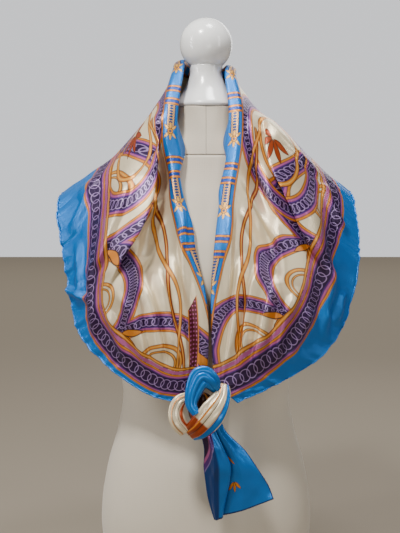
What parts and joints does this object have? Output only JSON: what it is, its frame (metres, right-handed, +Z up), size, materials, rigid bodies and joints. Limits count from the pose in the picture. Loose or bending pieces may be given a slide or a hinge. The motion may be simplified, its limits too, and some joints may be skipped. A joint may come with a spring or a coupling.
{
  "type": "silk square scarf on a limbless dress form",
  "caption": "Printed satin silk square folded on its diagonal, draped over a limbless dress form and knotted at the waist.",
  "frame": {"origin": "middle of the form's flat base", "axes": "+Z up, -Y towards the front, +X to the right as seen from the front"},
  "size_m": [0.4327, 0.3156, 0.7835],
  "materials": {
    "silk": "printed silk satin, blue border on cream",
    "jersey": "matt cream jersey",
    "white_paint": "gloss white paint on turned wood",
    "base_board": "plain sealed board"
  },
  "bodies": {
    "root": {"scarf_neck_roll": "silk", "scarf_lapel_left": "silk", "scarf_lapel_right": "silk", "scarf_front_left": "silk", "scarf_front_right": "silk", "scarf_shoulder_left": "silk", "scarf_shoulder_right": "silk", "scarf_back": "silk", "scarf_knot_core": "silk", "scarf_knot_wrap": "silk", "scarf_knot_loop": "silk", "scarf_short_end": "silk", "scarf_tail_over": "silk", "scarf_tail_under": "silk", "form_torso": "jersey", "form_neck": "jersey", "form_neck_cap": "white_paint", "form_finial": "white_paint", "form_base": "base_board"}
  },
  "joints": []
}
